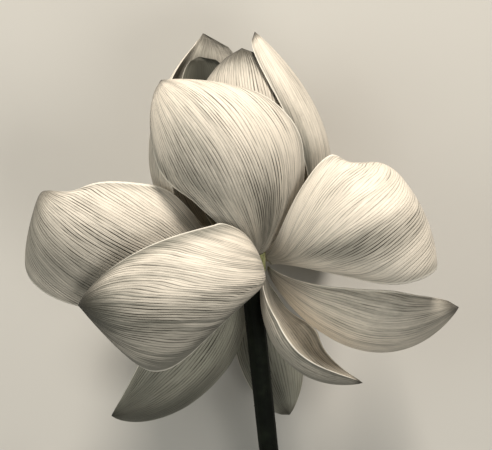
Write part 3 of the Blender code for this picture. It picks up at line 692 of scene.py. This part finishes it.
RIND_FIBRES = (14.0, 60.0)                   # along the stalk and round it
RIND_MOTTLE = 260.0
# dark green, painted near-black as painted shade, for a stalk that lies in shadow
SHADED_RIND_COLOURS = ((0.0025, 0.0035, 0.002), (0.006, 0.008, 0.0048), (0.013, 0.0165, 0.0095))


def stem_skin():
    """Dark green rind, painted near-black as painted shade, with lighter fibres along it and a faint bloom
    of wax.
    """
    skin, d, shader = blank_skin("stem_rind")
    spot = d.vector(d.sum('MULTIPLY', d.attribute("along"), RIND_FIBRES[0]),
                    d.sum('MULTIPLY', d.attribute("round"), RIND_FIBRES[1]))
    fibres = d.noise(spot, 1.0, 3.0)
    mottle = d.noise(object_place(d), RIND_MOTTLE, 3.0)
    share = d.sum('MULTIPLY_ADD', mottle, 0.4, d.sum('MULTIPLY', fibres, 0.6))
    tint = ramp_tint(d, d.between(share, 0.3, 0.7), SHADED_RIND_COLOURS)
    d.plug(shader.inputs["Base Color"], tint)
    d.plug(shader.inputs["Roughness"], d.sum('MULTIPLY_ADD', mottle, 0.2, 0.58))
    shader.inputs["Specular IOR Level"].default_value = 0.12
    d.bump(shader, share, 0.5, SKIN_RELIEF)
    return skin


stem = grow("stem_stalk", stem_tree(), {"Skin": stem_skin()})
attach(stem, "root")
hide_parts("stem")


# ---- The receptacle -------------------------------------------------------------------------------
# A spongy cone on a short neck at the heart of the bloom, green-yellow, its flank finely ribbed. Its
# flat top holds sixteen carpels in three rings, each with a dimpled tip. It grows out of the stem.
NECK = 6.0
NECK_FOOT = -2.0
NECK_EDGE = -1.6
NECK_LENGTH = 14.8
FLARE_FOOT = 13.2
FLARE_HEIGHT = 5.8
FLARE = 2.0
CONE_TOP = 24.0
CONE_RADIUS = 9.5
DISC_RADIUS = 8.4
LIP = ((8.35, 20.4), (8.85, 21.7), (9.35, 22.6), (CONE_RADIUS, 22.95), (9.4, 23.4), (9.0, 23.8),
       (DISC_RADIUS, CONE_TOP))
FLANK_SIDES = 112
FLANK_RIBS = 28
FLANK_RIB_DEPTH = 0.12
PLAIN_TOP = 1.5                              # the ribs end this far below the top
CARPEL_SIDES = 14
CARPEL_FOOT = -0.7                           # from the top, where a carpel's closed lower end lies
CARPEL_RINGS = ((1, 0.0), (5, 3.4), (10, 6.7))
CARPEL_TIP = ((1.36, -0.7), (1.34, -0.2), (1.22, 0.35), (1.0, 0.8), (0.7, 1.05), (0.42, 1.0),
              (0.22, 0.78), (0, 0.7))


def turn_profile(form, profile, sides, centre=(0, 0), ribs=0, depth=0.0, tip=0.0):
    """Add a closed (radius, y) profile to a bmesh, turned round a line along Y, in mm from the heart."""
    mark = form.verts.layers.float["tip"]
    rings = []
    for radius, y in profile:
        ring = []
        for i in range(sides if radius > 0 else 1):
            turn = 2 * math.pi * i / sides
            reach = radius + depth * math.cos(ribs * turn) * (CONE_TOP - y > PLAIN_TOP) * (radius > 0)
            point = Vector((centre[0] + reach * math.sin(turn), y, centre[1] + reach * math.cos(turn)))
            vertex = form.verts.new((point + HEART) * MM)
            vertex[mark] = tip
            ring.append(vertex)
        rings.append(ring)
    for low, high in zip(rings, rings[1:]):
        for i in range(sides):
            corners = [low[i % len(low)], high[i % len(high)],
                       high[(i + 1) % len(high)], low[(i + 1) % len(low)]]
            form.faces.new(list(dict.fromkeys(corners)))


cone = bmesh.new()
cone.verts.layers.float.new("tip")
flank = [(0, NECK_FOOT), (NECK - 0.5, NECK_FOOT), (NECK, NECK_EDGE)]
flank += [(NECK, NECK_EDGE + NECK_LENGTH * i / 12) for i in range(1, 13)]
flank += [(NECK + FLARE * math.sin(0.5 * math.pi * i / 8) ** 1.3, FLARE_FOOT + FLARE_HEIGHT * i / 8)
          for i in range(1, 9)]
flank += LIP
flank += [(DISC_RADIUS - DISC_RADIUS / 8 * i, CONE_TOP - 0.05 * math.sin(i)) for i in range(1, 8)]
flank += [(0, CONE_TOP)]
turn_profile(cone, flank, FLANK_SIDES, ribs=FLANK_RIBS, depth=FLANK_RIB_DEPTH)
for count, distance in CARPEL_RINGS:
    for i in range(count):
        turn = 2 * math.pi * i / count
        carpel = [(0, CONE_TOP + CARPEL_FOOT)] + [(r, CONE_TOP + y) for r, y in CARPEL_TIP]
        place = (distance * math.sin(turn), distance * math.cos(turn))
        turn_profile(cone, carpel, CARPEL_SIDES, place, tip=1.0)
bmesh.ops.recalc_face_normals(cone, faces=cone.faces)
for face in cone.faces:
    face.smooth = True
cone_mesh = bpy.data.meshes.new("receptacle_cone")
cone.to_mesh(cone_mesh)
cone.free()
receptacle = bpy.data.objects.new("receptacle_cone", cone_mesh)
bpy.context.scene.collection.objects.link(receptacle)


FLESH_COLOURS = ((0.20, 0.22, 0.085), (0.40, 0.42, 0.18), (0.58, 0.57, 0.29))
RIPE_COLOURS = ((0.13, 0.08, 0.03), (0.34, 0.25, 0.09), (0.5, 0.42, 0.2))
FLESH_STRETCH = (1.0, 0.25, 1.0)             # its fibres run along the cone
FLESH_FIBRES = 900.0
FLESH_CELLS = 1400.0


def receptacle_skin():
    """Spongy green-yellow flesh, paler on the ribs, with ripe brown carpel tips."""
    skin, d, shader = blank_skin("receptacle_flesh")
    where = object_place(d)
    long_way = d.node('ShaderNodeMapping', {'Vector': where, 'Scale': FLESH_STRETCH}).outputs[0]
    fibre = d.noise(long_way, FLESH_FIBRES, 4.0)
    sponge = d.node('ShaderNodeTexVoronoi', {'Vector': where, 'Scale': FLESH_CELLS}).outputs['Distance']
    share = d.sum('MULTIPLY_ADD', sponge, 0.25, d.sum('MULTIPLY', fibre, 0.75))
    flesh = ramp_tint(d, d.between(share, 0.3, 0.7), FLESH_COLOURS)
    ripe = ramp_tint(d, fibre, RIPE_COLOURS)
    mix = d.node('ShaderNodeMix', {0: d.attribute("tip"), 6: flesh, 7: ripe}, data_type='RGBA')
    d.plug(shader.inputs["Base Color"], mix.outputs[2])
    d.plug(shader.inputs["Roughness"], d.sum('MULTIPLY_ADD', fibre, 0.25, 0.45))
    d.bump(shader, share, 0.6, SKIN_RELIEF)
    return skin


cone_mesh.materials.append(receptacle_skin())
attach(receptacle, "root")
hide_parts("receptacle")


# ---- The stamens ----------------------------------------------------------------------------------
# Some two hundred soft threads stand in close rings round the receptacle. Each has a pale filament, a
# long yellow anther and a small white tongue at its end, and grows from a low collar on the neck.
STAMEN_INPUTS = {
    "Count": 204, "Root radius": 6.7, "Root height": 11.9, "Tip radius": 11.6, "Tip spread": 2.0,
    "Tip height": 28.6, "Height spread": 4.6, "Bow": 1.1, "Filament": 0.2, "Anther": 0.5, "Sides": 6,
    "Lengths": 12, "Seed": 7, "Skin": None,
}
RINGS = 3.0
ROOT_SPREAD = 0.6
OUTER_DIP = 2.0                              # how much lower the outermost ring's tips stand
UNEVEN_STEP = 0.5                            # how far a thread strays round the ring, in steps
ANTHER_FOOT = (0.52, 0.62)                   # shares of a thread's length where the anther sets in,
ANTHER_END = (0.96, 0.86)                    # and where it ends
FILAMENT_COLOURS = ((0.50, 0.44, 0.26), (0.74, 0.68, 0.48), (0.82, 0.78, 0.62))
ANTHER_COLOURS = ((0.32, 0.22, 0.09), (0.62, 0.47, 0.21), (0.76, 0.63, 0.35))
POLLEN_GRAIN = 3500.0
TONGUE_WHITE = (0.86, 0.83, 0.74, 1.0)
POLLEN_RELIEF = 0.0001                       # in metres


def stamen_tree():
    tree = bpy.data.node_groups.new("stamen_ring", 'GeometryNodeTree')
    tree.interface.new_socket("Geometry", in_out='INPUT', socket_type='NodeSocketGeometry')
    tree_inputs(tree, STAMEN_INPUTS)
    d = Desk(tree)
    given = tree.nodes.new('NodeGroupInput').outputs

    def own_value(offset):
        seed = d.sum('ADD', given["Seed"], offset)
        return d.node('FunctionNodeRandomValue', {'Seed': seed}, data_type='FLOAT').outputs[1]

    # one blank thread as a flat sheet, its two directions kept for the bending
    sheet = d.stored(d.sheet(1.0, 1.0, given["Lengths"], given["Sides"]), "thread", d.position())
    spots = d.node('GeometryNodeMeshLine', {'Count': given["Count"]}).outputs[0]
    threads = d.node('GeometryNodeInstanceOnPoints', {'Points': spots, 'Instance': sheet}).outputs[0]
    number = d.node('GeometryNodeInputIndex', {}).outputs[0]
    jitter = d.sum('MULTIPLY', d.sum('SUBTRACT', own_value(0), 0.5), UNEVEN_STEP)
    turn = d.sum('MULTIPLY', d.sum('DIVIDE', d.sum('ADD', number, jitter), given["Count"]), 2 * math.pi)
    ring = d.sum('DIVIDE', d.sum('MODULO', number, RINGS), RINGS - 1.0)
    threads = d.stored(threads, "makings", d.vector(turn, ring, own_value(1)), domain='INSTANCE')
    threads = d.realized(threads)

    def named(word):
        found = d.node('GeometryNodeInputNamedAttribute', {'Name': word}, data_type='FLOAT_VECTOR')
        return d.parts(found.outputs[0])

    thread, made = named("thread"), named("makings")
    t = d.sum('ADD', thread['X'], 0.5)
    about = d.sum('MULTIPLY', thread['Y'], 2 * math.pi)
    tip_radius = d.sum('MULTIPLY_ADD', made['Y'], given["Tip spread"], given["Tip radius"])
    root_radius = d.sum('MULTIPLY_ADD', made['Y'], ROOT_SPREAD, given["Root radius"])
    tip_height = d.sum('MULTIPLY_ADD', made['Z'], given["Height spread"], given["Tip height"])
    tip_height = d.sum('SUBTRACT', tip_height, d.sum('MULTIPLY', made['Y'], OUTER_DIP))
    arch = d.sum('MULTIPLY', 4.0, d.sum('MULTIPLY', t, d.sum('SUBTRACT', 1.0, t)))
    bow = d.sum('MULTIPLY', given["Bow"], arch)
    reach = d.sum('MULTIPLY_ADD', t, d.sum('SUBTRACT', tip_radius, root_radius), root_radius)
    reach = d.sum('ADD', bow, reach)
    rise = d.sum('SUBTRACT', tip_height, given["Root height"])
    height = d.sum('MULTIPLY_ADD', t, rise, given["Root height"])
    swell = d.sum('MULTIPLY', d.between(t, *ANTHER_FOOT), d.between(t, *ANTHER_END))
    extra = d.sum('SUBTRACT', given["Anther"], given["Filament"])
    thick = d.sum('MULTIPLY_ADD', swell, extra, given["Filament"])
    between_ends = d.sum('MULTIPLY', d.sum('GREATER_THAN', t, 0.001), d.sum('LESS_THAN', t, 0.999))
    thick = d.sum('MULTIPLY', thick, between_ends)
    outward = d.vector(d.sum('SINE', made['X']), 0.0, d.sum('COSINE', made['X']))
    sideways = d.way('CROSS_PRODUCT', outward, (0.0, 1.0, 0.0))
    middle = d.way('ADD', d.scaled(outward, reach), d.vector(0.0, height))
    skinward = d.way('ADD', d.scaled(outward, d.sum('COSINE', about)),
                     d.scaled(sideways, d.sum('SINE', about)))
    point = d.way('ADD', d.way('ADD', middle, d.scaled(skinward, thick)), tuple(HEART))
    bent = d.stored(d.placed(threads, d.scaled(point, MM)), "stamen", d.vector(t, made['Z']))
    both = d.joined(given["Geometry"], d.welded(bent))
    d.finish(d.realized(d.smooth(both)), given["Skin"])
    return tree


def stamen_skin():
    """Pale filament, yellow anther with fine pollen, and a white tongue at the end."""
    skin, d, shader = blank_skin("stamen_thread")
    parts = d.parts(d.attribute("stamen", 'Vector'))
    pollen = d.noise(object_place(d), POLLEN_GRAIN, 2.0)
    filament = ramp_tint(d, pollen, FILAMENT_COLOURS)
    ripe = d.sum('MULTIPLY_ADD', parts['Y'], 0.35, d.sum('MULTIPLY', pollen, 0.65))
    anther = ramp_tint(d, ripe, ANTHER_COLOURS)
    on_anther = d.sum('MULTIPLY', d.between(parts['X'], 0.52, 0.6), d.between(parts['X'], 0.94, 0.88))
    tint = d.node('ShaderNodeMix', {0: on_anther, 6: filament, 7: anther}, data_type='RGBA').outputs[2]
    tongue = d.node('ShaderNodeMix', {0: d.between(parts['X'], 0.90, 0.95), 6: tint, 7: TONGUE_WHITE},
                    data_type='RGBA').outputs[2]
    d.plug(shader.inputs["Base Color"], tongue)
    d.plug(shader.inputs["Roughness"], d.sum('MULTIPLY_ADD', on_anther, 0.25, 0.5))
    d.bump(shader, pollen, 0.5, POLLEN_RELIEF)
    return skin


COLLAR = ((6.3, 12.8), (7.2, 12.85), (7.7, 12.6), (7.75, 12.1), (7.3, 11.2), (7.0, 10.8), (6.3, 10.8),
          (6.3, 12.8))
COLLAR_SIDES = 72
collar = bmesh.new()
collar.verts.layers.float.new("tip")
turn_profile(collar, COLLAR, COLLAR_SIDES)
bmesh.ops.remove_doubles(collar, verts=collar.verts, dist=WELD)
bmesh.ops.recalc_face_normals(collar, faces=collar.faces)
collar_mesh = bpy.data.meshes.new("stamen_collar")
collar.to_mesh(collar_mesh)
collar.free()
stamens = grow("stamen_ring", stamen_tree(), {"Skin": stamen_skin()}, start=collar_mesh)
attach(stamens, "root")
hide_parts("stamens")


# ---- The surface and the light --------------------------------------------------------------------
# A pale sweep below, and the soft light of a studio: one strong lamp beyond the bloom's tip, two
# weaker and wider ones at the left and over the stem, and a pale room.
FLOOR_REACH = 3.0
FLOOR_GREY = (0.52, 0.505, 0.47, 1)
ROOM_WHITE = (0.99, 1.0, 0.95, 1)
ROOM_LIGHT = 0.15
LAMPS = (
    dict(name="key_lamp", place=(0.1, 1.2, 0.70), aim=(0, 0.06, 0.06), size=0.35, power=24,
         colour=(1.0, 0.93, 0.84)),
    dict(name="fill_lamp", place=(-1.0, 0.1, 1.1), aim=(0, 0.06, 0.06), size=0.9, power=4.5,
         colour=(0.97, 1.0, 0.95)),
    dict(name="front_lamp", place=(0.45, -0.5, 1.25), aim=(0, 0.0, 0.06), size=0.7, power=6.0,
         colour=(1.0, 0.97, 0.91)),
)

floor_mesh = bpy.data.meshes.new("floor")
sweep = bmesh.new()
bmesh.ops.create_grid(sweep, x_segments=1, y_segments=1, size=FLOOR_REACH)
sweep.to_mesh(floor_mesh)
sweep.free()
floor = bpy.data.objects.new("floor", floor_mesh)
bpy.context.scene.collection.objects.link(floor)
floor_skin, _, floor_shader = blank_skin("floor_skin")
floor_shader.inputs["Base Color"].default_value = FLOOR_GREY
floor_shader.inputs["Roughness"].default_value = 0.9
floor_mesh.materials.append(floor_skin)

for lamp in LAMPS:
    light = bpy.data.lights.new(lamp["name"], 'AREA')
    light.shape = 'DISK'
    light.size = lamp["size"]
    light.energy = lamp["power"]
    light.color = lamp["colour"]
    hung = bpy.data.objects.new(lamp["name"], light)
    bpy.context.scene.collection.objects.link(hung)
    hung.location = lamp["place"]
    hung.rotation_euler = (Vector(lamp["aim"]) - Vector(lamp["place"])).to_track_quat('-Z', 'Y').to_euler()

world = bpy.data.worlds.new("room")
bpy.context.scene.world = world
world.use_nodes = True
room = world.node_tree.nodes["Background"].inputs
room["Color"].default_value = ROOM_WHITE
room["Strength"].default_value = ROOM_LIGHT
bpy.context.scene.view_settings.view_transform = 'Standard'
